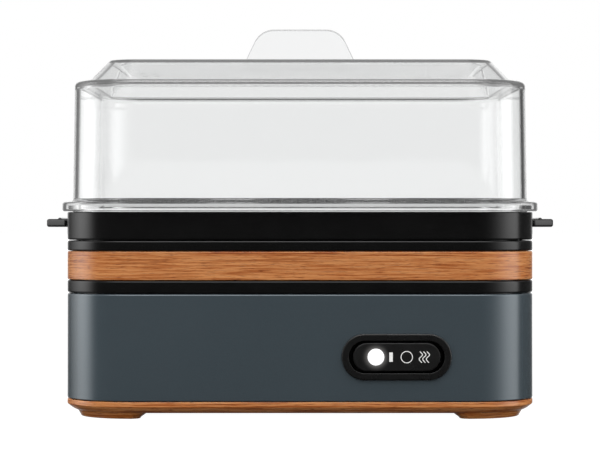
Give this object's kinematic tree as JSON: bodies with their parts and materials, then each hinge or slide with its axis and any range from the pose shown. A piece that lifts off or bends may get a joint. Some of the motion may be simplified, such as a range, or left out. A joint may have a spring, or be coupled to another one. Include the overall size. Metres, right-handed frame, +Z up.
{
  "type": "egg cooker",
  "caption": "Electric egg cooker: clear lid with a fin handle over a lift-out egg tray, on a heated base with a wood band, wood foot plate and oval rocker switch.",
  "frame": {"origin": "middle of the footprint, on the surface that the cooker stands on", "axes": "+X to the user's right, -Y towards the user (switch side), +Z up"},
  "size_m": [0.2348, 0.1546, 0.178],
  "materials": {
    "lid": "clear moulded polycarbonate",
    "lid_handle": "clear moulded polycarbonate",
    "egg_tray": "fine satin black moulding",
    "collar": "satin black moulding",
    "wood_band": "oiled wood, straight horizontal grain",
    "lower_ring": "satin black moulding",
    "housing": "slate-grey satin paint",
    "base": "oiled wood, straight horizontal grain",
    "switch_bezel": "semi-gloss black moulding",
    "rocker": "semi-gloss black moulding with white printed signs",
    "indicator_lens": "white light pipe, lit",
    "rocker_pin": "drawn steel",
    "switch_body": "black moulding",
    "water_dish": "dark non-stick coating on pressed metal",
    "dish_seal": "grey silicone",
    "heat_spreader": "cast, as machined",
    "heating_element": "drawn sheath",
    "thermostat": "unglazed",
    "thermal_fuse": "unglazed",
    "fuse_clip": "spring strip",
    "terminal_block": "white moulding",
    "cord_gland": "black rubber",
    "dish_clamp": "zinc-plated strip",
    "clamp_nut": "zinc-plated",
    "base_screw": "zinc-plated",
    "foot_pad": "black rubber",
    "lead_live": "silicone-sleeved wire",
    "lead_switched": "silicone-sleeved wire",
    "lead_fuse_in": "silicone-sleeved wire",
    "lead_fuse_out": "silicone-sleeved wire",
    "lead_neutral": "silicone-sleeved wire",
    "lead_earth": "silicone-sleeved wire"
  },
  "bodies": {
    "heated_base": {"collar": "collar", "wood_band": "wood_band", "lower_ring": "lower_ring", "housing": "housing", "base": "base", "switch_bezel": "switch_bezel", "rocker_pin": "rocker_pin", "switch_body": "switch_body", "water_dish": "water_dish", "dish_seal": "dish_seal", "heat_spreader": "heat_spreader", "heating_element": "heating_element", "thermostat": "thermostat", "thermal_fuse": "thermal_fuse", "fuse_clip": "fuse_clip", "terminal_block": "terminal_block", "cord_gland": "cord_gland", "dish_clamp_left": "dish_clamp", "clamp_nut_left": "clamp_nut", "dish_clamp_right": "dish_clamp", "clamp_nut_right": "clamp_nut", "base_screw_front_left": "base_screw", "foot_pad_front_left": "foot_pad", "base_screw_front_right": "base_screw", "foot_pad_front_right": "foot_pad", "base_screw_rear_left": "base_screw", "foot_pad_rear_left": "foot_pad", "base_screw_rear_right": "base_screw", "foot_pad_rear_right": "foot_pad", "lead_live": "lead_live", "lead_switched": "lead_switched", "lead_fuse_in": "lead_fuse_in", "lead_fuse_out": "lead_fuse_out", "lead_neutral": "lead_neutral", "lead_earth": "lead_earth"},
    "tray": {"egg_tray": "egg_tray"},
    "cover": {"lid": "lid", "lid_handle": "lid_handle"},
    "switch_key": {"rocker": "rocker", "indicator_lens": "indicator_lens"}
  },
  "joints": [
    {"name": "tray_lift", "type": "slide", "parent": "heated_base", "child": "tray", "axis": [0, 0, 1], "range_m": [0, 0.06]},
    {"name": "lid_lift", "type": "slide", "parent": "tray", "child": "cover", "axis": [0, 0, 1], "range_m": [0, 0.09]},
    {"name": "rocker_tilt", "type": "hinge", "parent": "heated_base", "child": "switch_key", "pos_m": [0.0424, -0.07, 0.028], "axis": [0, 0, 1], "range_deg": [-7, 7]}
  ]
}
